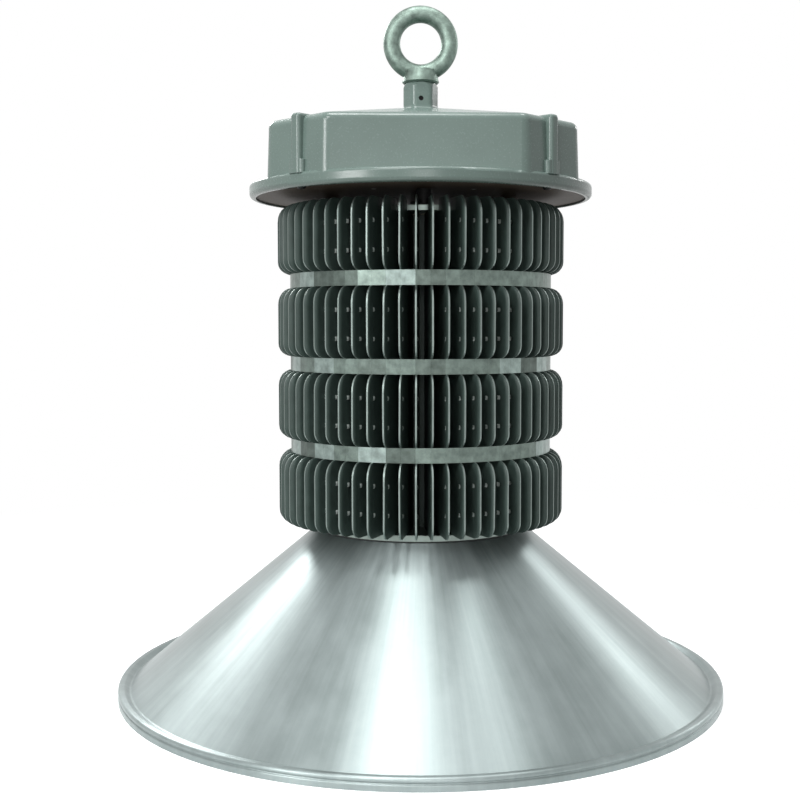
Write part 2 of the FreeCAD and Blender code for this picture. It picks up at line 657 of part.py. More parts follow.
def driver_base():
    plate = disc(FLANGE_R - FLANGE_LIP_T - 0.4, DRIVER_BASE_Z, DRIVER_BASE_T)
    cuts = around(hole(M4, DRIVER_BASE_Z - 1, DRIVER_BASE_T + 2, COVER_SCREW_RING_R), FOUR, 45)
    cuts += around(hole(M6, DRIVER_BASE_Z - 1, DRIVER_BASE_T + 2, STANDOFF_RING_R), FOUR)
    cuts.append(disc(LEAD_R + 3, DRIVER_BASE_Z - 1, DRIVER_BASE_T + 2, 0, LEAD_Y))
    for x, y in driver_screw_places() + terminal_screw_places():
        cuts.append(disc(M4[0] + FIT, DRIVER_BASE_Z - 1, DRIVER_BASE_T + 2, x, y))
    return plate.cut(cuts)


def cover_screws():
    length = LEDGE_Z - DRIVER_BASE_Z + COVER_BOSS_H - 3
    return around(screw_up(M4, DRIVER_BASE_Z, length, COVER_SCREW_RING_R), FOUR, 45)


# ---------------------------------------------------------------- eye bolt
def eye_bolt():
    """Forged ring, collar and plain shank, with the ring's hole along Y."""
    bar = Part.makeTorus(EYE_RING_R, EYE_BAR_R, ORIGIN, FreeCAD.Vector(0, 1, 0))
    foot = BOSS_TOP_Z - EYE_SHANK
    collar_top = BOSS_TOP_Z + EYE_COLLAR_H
    stem = turned([(0, foot), (EYE_THREAD_R - EYE_EDGE, foot), (EYE_THREAD_R, foot + EYE_EDGE),
                   (EYE_THREAD_R, BOSS_TOP_Z), (EYE_COLLAR_R - EYE_EDGE, BOSS_TOP_Z),
                   (EYE_COLLAR_R, BOSS_TOP_Z + EYE_EDGE), (EYE_COLLAR_TOP_R, collar_top), (0, collar_top)])
    return moved(bar, 0, 0, EYE_Z).fuse(stem)


def eye_nut():
    foot = EYE_SEAT_Z - EYE_NUT_H
    flat_r = EYE_NUT_FLATS / 2
    nut = hexagon(EYE_NUT_FLATS, foot, EYE_NUT_H)
    chamfer = turned([(0, EYE_SEAT_Z), (flat_r, EYE_SEAT_Z), (EYE_NUT_FLATS, EYE_SEAT_Z - flat_r / 2),
                      (EYE_NUT_FLATS, foot), (0, foot)])
    return nut.common(chamfer).cut(disc(EYE_THREAD_R + FIT, foot - 1, EYE_NUT_H + 2))


def eye_set_screw():
    depth = BOSS_FLATS / 2 - EYE_THREAD_R - 1.5
    screw = disc(SET_SCREW_R, EYE_THREAD_R + FIT, depth)
    socket = hexagon(SET_SCREW_R, EYE_THREAD_R + FIT + depth - 1.4, 2)
    screw = screw.cut(socket)
    screw.rotate(ORIGIN, FreeCAD.Vector(1, 0, 0), 90)
    return moved(screw, 0, 0, BOSS_Z + SET_SCREW_Z)


# ---------------------------------------------------------------- inside the cover
def driver_screw_places():
    reach = DRIVER_L / 2 + DRIVER_FOOT_L / 2
    return [(x, y) for x in (-DRIVER_X, DRIVER_X) for y in (-reach, reach)]


def led_driver(x):
    """A potted case with a foot at each end."""
    case = box(DRIVER_W, DRIVER_L, DRIVER_H, x, 0, FLOOR_Z)
    case = round_edges(case, 3.0, lambda e: not level_at(FLOOR_Z)(e))
    feet = box(DRIVER_W * 0.5, DRIVER_L + 2 * DRIVER_FOOT_L, DRIVER_FOOT_T, x, 0, FLOOR_Z)
    case = case.fuse(round_edges(feet, 3.0, upright))
    for place in driver_screw_places():
        case = case.cut(disc(M4[0] + FIT, FLOOR_Z - 1, DRIVER_FOOT_T + 2, *place))
    return case


def driver_screws():
    screws = []
    for x, y in driver_screw_places():
        screws.append(screw_down(M4, FLOOR_Z + DRIVER_FOOT_T, DRIVER_FOOT_T + DRIVER_BASE_T, x, y))
    return screws


def terminal_screw_places():
    return [(x, TERMINAL_Y) for x in (-(TERMINAL_W - TERMINAL_EAR_W) / 2, (TERMINAL_W - TERMINAL_EAR_W) / 2)]


def terminal_block():
    """Three-way block with wire holes towards the gland, screwed down at both ends."""
    block = box(TERMINAL_W - 2 * TERMINAL_EAR_W, TERMINAL_D, TERMINAL_H, 0, TERMINAL_Y, FLOOR_Z)
    block = block.fuse(box(TERMINAL_W, TERMINAL_D * 0.6, TERMINAL_EAR_H, 0, TERMINAL_Y, FLOOR_Z))
    back = TERMINAL_Y + TERMINAL_D / 2
    for i in (-1, 0, 1):
        wire = towards_back(disc(1.8, -6, 8), back, FLOOR_Z + TERMINAL_H * 0.45)
        clamp = disc(1.6, FLOOR_Z + TERMINAL_H - 4, 6, 0, TERMINAL_Y + 4)
        block = block.cut([moved(wire, TERMINAL_PITCH * i, 0, 0), moved(clamp, TERMINAL_PITCH * i, 0, 0)])
    for x, y in terminal_screw_places():
        block = block.cut(disc(M4[0] + FIT, FLOOR_Z - 1, 8, x, y))
    return block


def terminal_screws():
    return [screw_down(M4, FLOOR_Z + TERMINAL_EAR_H, TERMINAL_EAR_H + DRIVER_BASE_T, x, y) for x, y in terminal_screw_places()]


def lead_grommet():
    """Rubber ring with a groove that grips the plate's edge."""
    hole_r = LEAD_R + 3
    inner = LEAD_R + FIT
    low, high = DRIVER_BASE_Z - 1.6, FLOOR_Z + 1.6
    profile = [(inner, low), (hole_r + 1.8, low), (hole_r + 1.8, DRIVER_BASE_Z), (hole_r, DRIVER_BASE_Z),
               (hole_r, FLOOR_Z), (hole_r + 1.8, FLOOR_Z), (hole_r + 1.8, high), (inner, high)]
    return moved(turned(profile), 0, LEAD_Y, 0)


def led_lead():
    """Up the hollow core from the LED board, over the driver base and into the terminal block."""
    level = FLOOR_Z + LEAD_HEIGHT
    turn = LEAD_BEND_R * (1 - math.cos(math.radians(45)))
    straight_top = FreeCAD.Vector(0, LEAD_Y, level - LEAD_BEND_R)
    middle = FreeCAD.Vector(0, LEAD_Y + turn, level - turn)
    level_start = FreeCAD.Vector(0, LEAD_Y + LEAD_BEND_R, level)
    end = FreeCAD.Vector(0, TERMINAL_Y - TERMINAL_D / 2, level)
    foot = FreeCAD.Vector(0, LEAD_Y, BASE_PLATE_Z)
    path = Part.Wire([Part.makeLine(foot, straight_top), Part.Arc(straight_top, middle, level_start).toShape(),
                      Part.makeLine(level_start, end)])
    section = Part.Wire(Part.makeCircle(LEAD_R, foot, UP))
    return path.makePipeShell([section], True, True)


# ---------------------------------------------------------------- cable gland
def gland_body():
    """Hexagon outside the pad, thread through the wall, and a collar that the dome nut turns on."""
    thread_in = GLAND_PAD_T + GLAND_THREAD_IN
    body = hexagon(GLAND_FLATS, 0, GLAND_HEX_T).fuse(disc(GLAND_THREAD_R, -thread_in, thread_in))
    body = body.fuse(disc(GLAND_THREAD_R, GLAND_HEX_T, GLAND_THREAD_OUT))
    body = body.cut(disc(GLAND_BORE_R, -thread_in - 1, thread_in + GLAND_HEX_T + 10))
    body = body.cut(disc(GLAND_BORE_R + 1.5, GLAND_HEX_T + 2, GLAND_THREAD_OUT))
    return towards_back(body, gland_pad_y(), FLOOR_Z + GLAND_HEIGHT)


def gland_nut():
    outer = GLAND_FLATS / 2
    start = GLAND_HEX_T + 0.5
    shoulder = start + GLAND_THREAD_OUT
    top = shoulder + GLAND_DOME_H
    dome_nut = turned([(0, shoulder), (outer, shoulder), (outer, shoulder + 2), (CABLE_R + 3, top, 2), (0, top)])
    nut = hexagon(GLAND_FLATS, start, GLAND_THREAD_OUT).fuse(dome_nut)
    nut = nut.cut(disc(GLAND_THREAD_R + FIT, start - 1, GLAND_THREAD_OUT + 1)).cut(disc(CABLE_R + 0.8, start, 20))
    return towards_back(nut, gland_pad_y(), FLOOR_Z + GLAND_HEIGHT)


def gland_seal():
    """Soft sleeve in the mouth of the body: the cable passes it."""
    seat = GLAND_HEX_T + 2
    seal = ring(GLAND_BORE_R + 1.4, CABLE_R, seat, GLAND_HEX_T + 8.5 - seat)
    return towards_back(seal, gland_pad_y(), FLOOR_Z + GLAND_HEIGHT)


def gland_locknut():
    nut = hexagon(GLAND_FLATS, -GLAND_PAD_T - LOCKNUT_T, LOCKNUT_T)
    nut = nut.cut(disc(GLAND_THREAD_R + FIT, -GLAND_PAD_T - 6, 8))
    return towards_back(nut, gland_pad_y(), FLOOR_Z + GLAND_HEIGHT)


# ---------------------------------------------------------------- assembly
NODES = {
    "eye_bolt": eye_bolt,
    "eye_nut": eye_nut,
    "eye_set_screw": eye_set_screw,
    "driver_cover": driver_cover,
    "cover_gasket": cover_gasket,
    "driver_base": driver_base,
    "cover_screws": cover_screws,
    "led_driver_left": lambda: led_driver(-DRIVER_X),
    "led_driver_right": lambda: led_driver(DRIVER_X),
    "driver_screws": driver_screws,
    "terminal_block": terminal_block,
    "terminal_screws": terminal_screws,
    "gland_body": gland_body,
    "gland_nut": gland_nut,
    "gland_seal": gland_seal,
    "gland_locknut": gland_locknut,
    "lead_grommet": lead_grommet,
    "led_lead": led_lead,
    "standoffs": standoffs,
    "standoff_bolts": standoff_bolts,
    "top_plate": top_plate,
    "top_plate_screws": top_plate_screws,
    "heat_core": heat_core,
    "cooling_fins": cooling_fins,
    "base_plate": base_plate,
    "base_screws": base_screws,
    "led_board": led_board,
    "cob_array": cob_array,
    "cob_holder": cob_holder,
    "holder_screws": holder_screws,
    "lens_gasket": lens_gasket,
    "glass_lens": glass_lens,
    "lens_retainer": lens_retainer,
    "retainer_screws": retainer_screws,
    "reflector_gasket": reflector_gasket,
    "reflector": reflector,
    "reflector_screws": reflector_screws,
}


def main():
    os.makedirs("parts", exist_ok=True)
    for name, build in NODES.items():
        made = build()
        shape = Part.makeCompound(made) if isinstance(made, list) else made
        for solid in shape.Solids:
            if not solid.isValid():
                raise ValueError(name + " has a solid that is not valid")
        shape = Part.makeCompound(shape.Solids) if len(shape.Solids) > 1 else shape.Solids[0]
        shape.exportStep("parts/" + name + ".step")
        print(name, len(shape.Solids), "solids", round(shape.Volume / 1000, 2), "cm3")


main()
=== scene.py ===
import json
import math
import random

import bpy
import bmesh
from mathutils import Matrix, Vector

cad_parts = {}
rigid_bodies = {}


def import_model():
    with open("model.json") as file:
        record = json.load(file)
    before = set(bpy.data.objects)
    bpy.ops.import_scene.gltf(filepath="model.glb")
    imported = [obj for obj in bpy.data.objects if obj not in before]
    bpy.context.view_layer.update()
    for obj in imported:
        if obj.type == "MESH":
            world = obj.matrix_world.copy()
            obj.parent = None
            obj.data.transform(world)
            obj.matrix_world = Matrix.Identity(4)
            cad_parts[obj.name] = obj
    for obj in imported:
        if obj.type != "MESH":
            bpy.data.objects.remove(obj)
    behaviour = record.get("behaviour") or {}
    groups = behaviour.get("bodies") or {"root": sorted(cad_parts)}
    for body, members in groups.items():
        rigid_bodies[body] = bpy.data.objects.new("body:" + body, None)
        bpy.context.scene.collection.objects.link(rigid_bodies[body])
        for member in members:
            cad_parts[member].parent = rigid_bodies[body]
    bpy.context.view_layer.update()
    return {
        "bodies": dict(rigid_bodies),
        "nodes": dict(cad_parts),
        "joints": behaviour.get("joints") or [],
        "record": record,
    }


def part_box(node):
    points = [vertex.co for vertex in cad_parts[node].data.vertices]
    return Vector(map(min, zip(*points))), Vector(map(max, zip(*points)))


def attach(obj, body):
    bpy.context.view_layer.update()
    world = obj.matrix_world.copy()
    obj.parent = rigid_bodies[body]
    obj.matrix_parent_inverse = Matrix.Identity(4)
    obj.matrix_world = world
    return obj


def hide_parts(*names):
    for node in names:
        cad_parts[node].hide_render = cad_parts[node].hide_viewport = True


# High bay light, in metres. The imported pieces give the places; this script gives every surface its finish,
# builds the spun reflector and the sheet fins with their pressed dimples, and sets up a small white studio.

MM = 0.001

# ---------------------------------------------------------------- camera
CAMERA_DISTANCE = 1.007
CAMERA_TURN_DEG = -1.9      # round the axis, from straight in front
CAMERA_HEIGHT = 0.302
CAMERA_TILT_DEG = 3.66
CAMERA_LENS = 54.1          # millimetres, as is the sensor
CAMERA_SENSOR = 36
CAMERA_SHIFT_X = -0.02575

# ---------------------------------------------------------------- lamps
LAMP_DISTANCE = 2.0
LAMP_AIM = (0, 0, 0.2)
# Name, azimuth from the front (right is positive) and elevation in degrees, width, height, watts
LAMPS = [
    ("key", -22, 36, 0.6, 0.6, 12),
    ("corner", -45, 16, 0.6, 0.5, 14),
    ("front", 0, 8, 0.5, 0.5, 4),
    ("overhead_front", -26, 76, 0.75, 0.4, 17),
    ("overhead", 0, 88, 0.5, 0.45, 3),
    ("overhead_right", 100, 73, 0.4, 0.35, 7),
    ("back_left", -146, 32, 0.55, 0.5, 16),
    ("back_right", 127, 25, 0.35, 0.35, 4),
]

# ---------------------------------------------------------------- reflector
REFLECTOR_SHEET = 1.2 * MM
LIGHT_HOLE_R = 70.0 * MM
NECK_BEND = 3.0 * MM
# Corners of the outer face below the cone, in millimetres: radius less the rim's, height, corner radius
RIM_PROFILE = [
    (-9.7, 6.2, 2.0),       # bottom of the channel
    (-5.2, 9.5, 2.3),       # bead
    (0, 9.5, 2.3),
    (0, 6.4, 1.3),          # groove
    (-1.3, 5.3, 0.7),
    (0, 4.2, 1.3),
    (0, 0, 0),              # lip
]
BEND_STEPS = 7
LATHE_STEPS = 288

# ---------------------------------------------------------------- fins
FIN_COUNT = 60
FIN_PIECES = 4
FIN_FIRST_DEG = -93.6       # direction of one fin, from +X
FIN_SHEET = 1.2 * MM
FIN_GAP = 0.06 * MM         # between a tab or foot and the next fin
FOOT_GAP = 0.05 * MM        # between the feet and the core
STEP_GAP = 0.6 * MM         # between the top plate and the fins' step
UPPER_CORNER_H = 13.0 * MM  # a lobe's corners are ellipses as wide as the lobe stands out from its tab
LOWER_CORNER_H = 10.0 * MM
CORNER_STEPS = 6
CORNER_LEAST = 0.002        # keeps a corner from closing at its end: square of its share of the width
COLUMN_R = 98.0 * MM        # a mesh column between the step and the dimples
BAND_R = 108.0 * MM         # to the middle of a tab's flat outer face
BAND_H = 11.5 * MM
BAND_COUNT = 3
FOOT_LOBE_EXTRA = 2.9 * MM  # the lowest lobe is this much taller than the others
# The fins' faces take a dark coating in place of bare aluminium: painted shade of the narrow gaps between the
# fins.
FIN_FINISHES = ["fin_face_painted_shade", "fin_edge", "fin_dimple_painted_glint", "fin_band_painted_shade", "fin_band", "fin_band_painted_sheen"]
FACE_PAINTED_SHADE, EDGE, DIMPLE, BAND_PAINTED_SHADE, BAND_PLAIN, BAND_PAINTED_SHEEN = range(len(FIN_FINISHES))
# A tab takes the plain metal or, at random, a darker or lighter copy of it: painted shade and painted sheen
# in patches.
BAND_CHOICES = (BAND_PAINTED_SHADE, BAND_PLAIN, BAND_PLAIN, BAND_PAINTED_SHEEN)

DIMPLE_R = 2.3 * MM
DIMPLE_DEPTH = 0.8 * MM
DIMPLE_RING_R = 106.4 * MM
DIMPLE_SPACING = 22.1 * MM
DIMPLE_DROP = 1.6 * MM      # from a lobe's middle down to the middle of its two dimples
DIMPLE_CROWN = 0.8          # under 1 makes the dimple fuller
DIMPLE_STEPS = 3            # mesh steps from its middle to its edge
DIMPLE_MESH_R = 1.05 * DIMPLE_R
DIMPLE_GLINT_SHARE = 0.3           # a pale coating, a painted glint, covers the dimple where it stands out by more than this share
DIMPLE_CLEAR = 0.3 * MM     # mesh columns keep this far from the notch's

BEND_SEED = 4
BEND_FROM_R = 85.0 * MM     # the sheets are uneven from here outwards
LEAN = 0.25 * MM            # usual lean and wave of a fin's outer edge
WAVE = 0.15 * MM
WAVE_TURN = 45              # radians per metre of height

# ---------------------------------------------------------------- studio
AMBIENT_COLOUR = (0.94, 0.98, 1.0, 1)
AMBIENT_STRENGTH = 0.1
WHITE = (1, 1, 1, 1)
FLOOR_R = 12
FLOOR_PALE_TO = 0.45        # the floor turns from pale to white between these distances from the axis
FLOOR_WHITE_FROM = 1.1
FLOOR_COLOUR = (0.86, 0.87, 0.87, 1)
FLOOR_LIFT = 0.5            # glow that keeps the near floor light
FLOOR_BOUNCE = (0.2, 0.19, 0.18, 1)     # its colour for the light that it throws back on the object


# ---------------------------------------------------------------- node trees
def make(tree, kind, inputs=None, **settings):
    """Adds a shader node, sets its properties, and gives each named input a value or a link."""
    node = tree.nodes.new("ShaderNode" + kind)
    for key, value in settings.items():
        setattr(node, key, value)
    for key, value in (inputs or {}).items():
        socket = node.inputs[key]
        if isinstance(value, bpy.types.NodeSocket):
            tree.links.new(value, socket)
        else:
            socket.default_value = value
    return node


def new_material(name):
    """An empty node material with its output node."""
    material = bpy.data.materials.new(name)
    material.use_nodes = True
    material.node_tree.nodes.clear()
    return material, material.node_tree


def finish_material(tree, shader_socket):
    make(tree, "OutputMaterial", {"Surface": shader_socket})


def place_of(tree):
    """The point being shaded, in metres in the object's own frame."""
    return make(tree, "TexCoord").outputs["Object"]


def noise(tree, vector, scale, detail, roughness=0.55):
    inputs = {"Vector": vector, "Scale": scale, "Detail": detail, "Roughness": roughness}
    return make(tree, "TexNoise", inputs).outputs["Fac"]


def spread(tree, value, low, high):
    """Maps the usual range of a noise onto low to high."""
    inputs = {"Value": value, "From Min": 0.3, "From Max": 0.7, "To Min": low, "To Max": high}
    return make(tree, "MapRange", inputs).outputs["Result"]


def blend_colour(tree, factor, first, second):
    """Runs from the first colour to the second as factor goes from 0 to 1."""
    ramp = make(tree, "ValToRGB", {"Fac": factor})
    ramp.color_ramp.elements[0].color = (*first, 1)
    ramp.color_ramp.elements[1].color = (*second, 1)
    return ramp.outputs["Color"]


def shade(colour, factor):
    return tuple(c * factor for c in colour)


def bump(tree, height, distance, strength):
    inputs = {"Height": height, "Distance": distance, "Strength": strength}
    return make(tree, "Bump", inputs).outputs["Normal"]


def stretched(tree, vector, scale):
    return make(tree, "VectorMath", {0: vector, 1: scale}, operation="MULTIPLY").outputs[0]


def round_the_axis(tree, turns_scale, height_scale):
    """A seamless vector that changes with the direction round Z and with height, each at its own scale."""
    place = place_of(tree)
    flat = stretched(tree, place, (1, 1, 0))
    unit = make(tree, "VectorMath", {0: flat}, operation="NORMALIZE").outputs[0]
    turn = stretched(tree, unit, (turns_scale,) * 3)
    height = stretched(tree, place, (0, 0, height_scale))
    return make(tree, "VectorMath", {0: turn, 1: height}, operation="ADD").outputs[0]


# ---------------------------------------------------------------- materials
def spun_aluminium():
    """Sheet spun on a lathe: fine marks run round the axis, with faint streaks and clouds down the cone."""
    material, tree = new_material("spun_aluminium_finish")
    down_the_cone = round_the_axis(tree, turns_scale=26, height_scale=6)
    in_patches = round_the_axis(tree, turns_scale=4, height_scale=26)
    in_rings = round_the_axis(tree, turns_scale=9, height_scale=1500)
    streaks = noise(tree, down_the_cone, scale=1.0, detail=6.0, roughness=0.6)
    clouds = noise(tree, in_patches, scale=1.0, detail=5.0, roughness=0.6)
    marks = noise(tree, in_rings, scale=1.0, detail=3.0, roughness=0.7)
    mixed = make(tree, "Mix", {"Factor": 0.6, "A": streaks, "B": clouds}, data_type="FLOAT")
    share = spread(tree, mixed.outputs[0], 0, 1)
    colour = blend_colour(tree, share, (0.21, 0.25, 0.245), (0.335, 0.385, 0.385))
    shader = make(tree, "BsdfPrincipled", {
        "Base Color": colour, "Metallic": 1.0, "Anisotropic": 0.8, "Anisotropic Rotation": 0.25,
        "Roughness": spread(tree, clouds, 0.37, 0.45),
        "Tangent": make(tree, "Tangent", direction_type="RADIAL", axis="Z").outputs[0],
        "Normal": bump(tree, marks, distance=0.03 * MM, strength=0.5)})
    finish_material(tree, shader.outputs[0])
    return material


def metal(name, colour, roughness, cloud_scale=60, grain=0.04, variation=0.12, bump_mm=0.05):
    """A plain metal with clouded colour, uneven gloss and a fine surface."""
    material, tree = new_material(name)
    place = place_of(tree)
    clouds = noise(tree, place, cloud_scale, detail=5.0, roughness=0.6)
    surface = noise(tree, place, cloud_scale * 12, detail=3.0, roughness=0.6)
    shader = make(tree, "BsdfPrincipled", {
        "Base Color": blend_colour(tree, spread(tree, clouds, 0, 1), shade(colour, 1 - variation),
                                   shade(colour, 1 + variation)),
        "Metallic": 1.0,
        "Roughness": spread(tree, surface, roughness - grain, roughness + grain),
        "Normal": bump(tree, surface, distance=bump_mm * MM, strength=0.4)})
    finish_material(tree, shader.outputs[0])
    return material


def tab_metal(name, colour, roughness):
    """Bare metal of the fins' outer tabs; its darker and lighter copies are painted shade and painted sheen.
    """
    return metal(name, colour, roughness, cloud_scale=150, grain=0.06, variation=0.3)


def coating(name, colour, roughness, cloud_scale=40, peel_scale=900, variation=0.08, bump_mm=0.05,
            specular=0.5):
    """Paint, plastic or rubber: clouded colour with a fine orange-peel or moulded surface."""
    material, tree = new_material(name)
    place = place_of(tree)
    clouds = noise(tree, place, cloud_scale, detail=5.0, roughness=0.6)
    peel = noise(tree, place, peel_scale, detail=3.0, roughness=0.5)
    shader = make(tree, "BsdfPrincipled", {
        "Base Color": blend_colour(tree, spread(tree, clouds, 0, 1), shade(colour, 1 - variation),
                                   shade(colour, 1 + variation)),
        "Specular IOR Level": specular,
        "Roughness": spread(tree, peel, roughness - 0.04, roughness + 0.04),
        "Normal": bump(tree, peel, distance=bump_mm * MM, strength=0.4)})
    finish_material(tree, shader.outputs[0])
    return material


def glass():
    material, tree = new_material("clear_glass_finish")
    waviness = noise(tree, place_of(tree), scale=30, detail=2.0)
    shader = make(tree, "BsdfPrincipled", {
        "Base Color": (0.93, 0.97, 0.95, 1), "Roughness": 0.03, "IOR": 1.5, "Transmission Weight": 1.0,
        "Normal": bump(tree, waviness, distance=0.1 * MM, strength=0.3)})
    finish_material(tree, shader.outputs[0])
    return material


def make_materials():
    """The finish of each of the record's slots, which for the fins is six."""
    return {
        "spun_aluminium": spun_aluminium(),
        "galvanized_steel": metal("galvanized_finish", (0.18, 0.235, 0.205), 0.5, cloud_scale=180, grain=0.08,
                                  variation=0.35, bump_mm=0.14),
        "zinc_steel": metal("zinc_finish", (0.42, 0.44, 0.43), 0.3, cloud_scale=200),
        "black_steel": metal("black_steel_finish", (0.02, 0.02, 0.02), 0.5, cloud_scale=300),
        "plate_aluminium": metal("plate_finish", (0.20, 0.24, 0.22), 0.38),
        "core_aluminium": metal("core_finish", (0.25, 0.235, 0.18), 0.5),
        # Fin faces: a dark coating on the aluminium sheet, painted shade of the gaps between the fins.
        "fin_face_painted_shade": coating("fin_face_painted_shade_finish", (0.050, 0.076, 0.067), 0.5, cloud_scale=90, peel_scale=1500,
                            variation=0.15, bump_mm=0.03, specular=0.35),
        # Dimple crowns: a near-white coating, a painted glint of the pressed dimples.
        "fin_dimple_painted_glint": coating("fin_dimple_painted_glint_finish", (0.62, 0.68, 0.65), 0.3, cloud_scale=120),
        "fin_edge": metal("fin_edge_finish", (0.20, 0.24, 0.225), 0.46, cloud_scale=120),
        # Tab metal in three shades: painted shade, plain, and painted sheen.
        "fin_band_painted_shade": tab_metal("fin_band_painted_shade_finish", (0.10, 0.125, 0.112), 0.42),
        "fin_band": tab_metal("fin_band_finish", (0.15, 0.19, 0.17), 0.38),
        "fin_band_painted_sheen": tab_metal("fin_band_painted_sheen_finish", (0.25, 0.31, 0.29), 0.34),
        "cast_paint": coating("cast_paint_finish", (0.155, 0.216, 0.193), 0.25, cloud_scale=30,
                              peel_scale=700, variation=0.05, specular=0.45),
        # Base sheet: its dark brown is painted shade of the flange's underside, with a painted warm
        # reflection.
        "base_sheet": coating("base_sheet_painted_shade_finish", (0.060, 0.046, 0.034), 0.5, cloud_scale=60,
                              variation=0.15, bump_mm=0.03, specular=0.08),
        "driver_case": coating("driver_case_finish", (0.70, 0.70, 0.68), 0.45, cloud_scale=60),
        "rubber": coating("rubber_finish", (0.016, 0.017, 0.017), 0.62, cloud_scale=80, peel_scale=1200,
                          variation=0.2, bump_mm=0.06, specular=0.3),
        "white_plastic": coating("white_plastic_finish", (0.78, 0.78, 0.75), 0.35, cloud_scale=60),
        "black_plastic": coating("black_plastic_finish", (0.022, 0.023, 0.024), 0.4, cloud_scale=90,
                                 peel_scale=1400, variation=0.15),
        "lead_sheath": coating("lead_sheath_finish", (0.60, 0.60, 0.58), 0.5, cloud_scale=90),
        "white_board": coating("white_board_finish", (0.82, 0.83, 0.82), 0.4, cloud_scale=60),
        "phosphor": coating("phosphor_finish", (0.80, 0.62, 0.12), 0.5, cloud_scale=200, peel_scale=2500,
                            variation=0.06, bump_mm=0.1),
        "clear_glass": glass(),
    }


def dress_cad_nodes(frame, materials):
    """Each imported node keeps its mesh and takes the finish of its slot."""
    for node in frame["nodes"].values():
        for slot in node.material_slots:
            name = slot.material.name
            # The fins' aluminium slot takes the dark face coating, which is painted shade.
            slot.material = materials["fin_face_painted_shade" if name == "fin_aluminium" else name]


# ---------------------------------------------------------------- the spun reflector
def rounded(corners):
    """Points along straight runs whose corners, each with a radius as third number, are turned."""
    points = []
    for i, (r, z, radius) in enumerate(corners):
        at = Vector((r, z))
        if not radius:
            points.append(at)
            continue
        back = (Vector(corners[i - 1][:2]) - at).normalized()
        ahead = (Vector(corners[i + 1][:2]) - at).normalized()
        half = back.angle(ahead) / 2
        centre = at + (back + ahead).normalized() * (radius / math.sin(half))
        start = at + back * (radius / math.tan(half)) - centre
        middle = at - centre
        turn = (math.pi - 2 * half) * (1 if start.x * middle.y - start.y * middle.x > 0 else -1)
        for step in range(BEND_STEPS + 1):
            a = turn * step / BEND_STEPS
            points.append(centre + Vector((start.x * math.cos(a) - start.y * math.sin(a),
                                           start.x * math.sin(a) + start.y * math.cos(a))))
    return points


def sheet_profile(outer, thickness):
    """A closed profile: the outer face and, behind it, the inner face of a sheet."""
    inner = []
    for i, point in enumerate(outer):
        before, after = outer[max(i - 1, 0)], outer[min(i + 1, len(outer) - 1)]
        first = (point - before).normalized() if i else (after - point).normalized()
        second = (after - point).normalized() if i < len(outer) - 1 else first
        along = (first + second).normalized()
        lean = max(along.dot(first), 0.5)   # a mitre reaches at most twice the thickness
        inner.append(point + Vector((-along.y, along.x)) * (-thickness / lean))
    return outer + inner[::-1]


def lathe(name, profile, sharp):
    """A closed profile of radius and height turned about Z, with edges at the points listed in sharp."""
    mesh = bmesh.new()
    rings = []
    for point in profile:
        ring = []
        for i in range(LATHE_STEPS):
            turn = math.tau * i / LATHE_STEPS
            ring.append(mesh.verts.new((point.x * math.cos(turn), point.x * math.sin(turn), point.y)))
        rings.append(ring)
    for i, ring in enumerate(rings):
        following = rings[(i + 1) % len(rings)]
        for j in range(LATHE_STEPS):
            k = (j + 1) % LATHE_STEPS
            face = mesh.faces.new((ring[k], ring[j], following[j], following[k]))
            face.smooth = True
    for i in sharp:
        for j in range(LATHE_STEPS):
            mesh.edges.get((rings[i][j], rings[i][(j + 1) % LATHE_STEPS])).smooth = False
    bmesh.ops.recalc_face_normals(mesh, faces=mesh.faces)
    data = bpy.data.meshes.new(name)
    mesh.to_mesh(data)
    mesh.free()
    piece = bpy.data.objects.new(name, data)
    bpy.context.scene.collection.objects.link(piece)
    return piece


def build_reflector(frame, materials):
    """One spun sheet: neck flange, cone, channel, bead, groove and lip."""
    rim_r = reach_of(frame["nodes"]["reflector"])
    neck_r = reach_of(frame["nodes"]["base_plate"])
    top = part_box("reflector")[1].z
    corners = [(LIGHT_HOLE_R, top, 0), (neck_r, top, NECK_BEND)]
    corners += [(rim_r + r * MM, z * MM, bend * MM) for r, z, bend in RIM_PROFILE]
    outer = rounded(corners)
    profile = sheet_profile(outer, REFLECTOR_SHEET)
    last = len(outer) - 1
    piece = lathe("spun_reflector", profile, (0, last, last + 1, len(profile) - 1))
    piece.data.materials.append(materials["spun_aluminium"])
    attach(piece, "root")
    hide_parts("reflector")


# ---------------------------------------------------------------- the sheet fins
def reach_of(node):
    """The largest radius of a node from the Z axis."""
    return max(math.hypot(v.co.x, v.co.y) for v in node.data.vertices)


